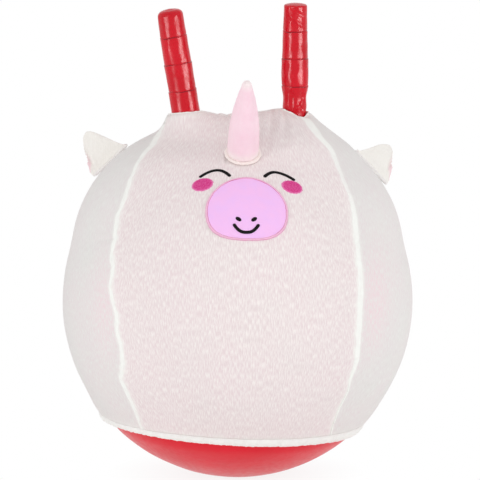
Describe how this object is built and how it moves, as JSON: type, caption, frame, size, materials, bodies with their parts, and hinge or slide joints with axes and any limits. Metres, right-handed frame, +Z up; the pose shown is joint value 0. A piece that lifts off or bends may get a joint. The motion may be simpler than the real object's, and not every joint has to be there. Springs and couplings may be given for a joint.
{
  "type": "hopper ball",
  "caption": "Inflatable hopper ball with two ribbed grip handles, in a pale plush animal cover with a horn, two soft ears and an embroidered face",
  "frame": {"origin": "middle of the flat under the ball, where it rests on the floor", "axes": "+Z up out of the ball's top, -Y out of the face, +X to the right of someone who looks at the face"},
  "size_m": [0.4548, 0.4546, 0.6197],
  "materials": {
    "red_vinyl": "glossy inflated PVC skin",
    "white_plastic": "moulded",
    "pale_plush": "short-pile knitted plush",
    "white_plush": "short-pile knitted plush, folded and stitched",
    "elastic": "woven elastic",
    "pink_plush": "short-pile knitted plush",
    "ear_lining": "short-pile knitted plush",
    "wadding": "loose polyester wadding",
    "muzzle_felt": "brushed felt",
    "edging_thread": "satin stitch",
    "cheek_thread": "satin stitch",
    "black_thread": "satin stitch"
  },
  "bodies": {
    "ball": {"ball_shell": "red_vinyl", "left_handle": "red_vinyl", "right_handle": "red_vinyl", "valve_seat": "red_vinyl", "front_panel": "pale_plush", "back_panel": "pale_plush", "left_panel": "pale_plush", "right_panel": "pale_plush", "front_left_seam": "white_plush", "front_right_seam": "white_plush", "back_left_seam": "white_plush", "back_right_seam": "white_plush", "crown_seam": "white_plush", "hem_casing": "white_plush", "hem_elastic": "elastic", "left_collar": "white_plush", "right_collar": "white_plush", "left_collar_elastic": "elastic", "right_collar_elastic": "elastic", "horn_skin": "pink_plush", "horn_stuffing": "wadding", "horn_ring": "pale_plush", "left_ear_root": "white_plush", "right_ear_root": "white_plush", "muzzle_patch": "muzzle_felt", "muzzle_edging": "edging_thread", "nostrils": "black_thread", "mouth": "black_thread", "left_eye": "black_thread", "right_eye": "black_thread", "left_cheek": "cheek_thread", "right_cheek": "cheek_thread"},
    "valve_plug": {"valve_plug": "white_plastic"},
    "left_ear": {"left_ear_front": "white_plush", "left_ear_lining": "ear_lining", "left_ear_wadding": "wadding"},
    "right_ear": {"right_ear_front": "white_plush", "right_ear_lining": "ear_lining", "right_ear_wadding": "wadding"}
  },
  "joints": [
    {"name": "valve_plug_pull", "type": "slide", "parent": "ball", "child": "valve_plug", "axis": [0, 0.5, -0.866], "range_m": [0, 0.02]},
    {"name": "left_ear_flap", "type": "hinge", "parent": "ball", "child": "left_ear", "pos_m": [-0.16578, 0.04442, 0.40544], "axis": [0.6948, -0.1862, 0.6947], "range_deg": [-75, 60], "stiffness_Nm_per_rad": 0.03},
    {"name": "right_ear_flap", "type": "hinge", "parent": "ball", "child": "right_ear", "pos_m": [0.17393, 0.0466, 0.39562], "axis": [0.6588, 0.1765, -0.7314], "range_deg": [-35, 100], "stiffness_Nm_per_rad": 0.03}
  ]
}
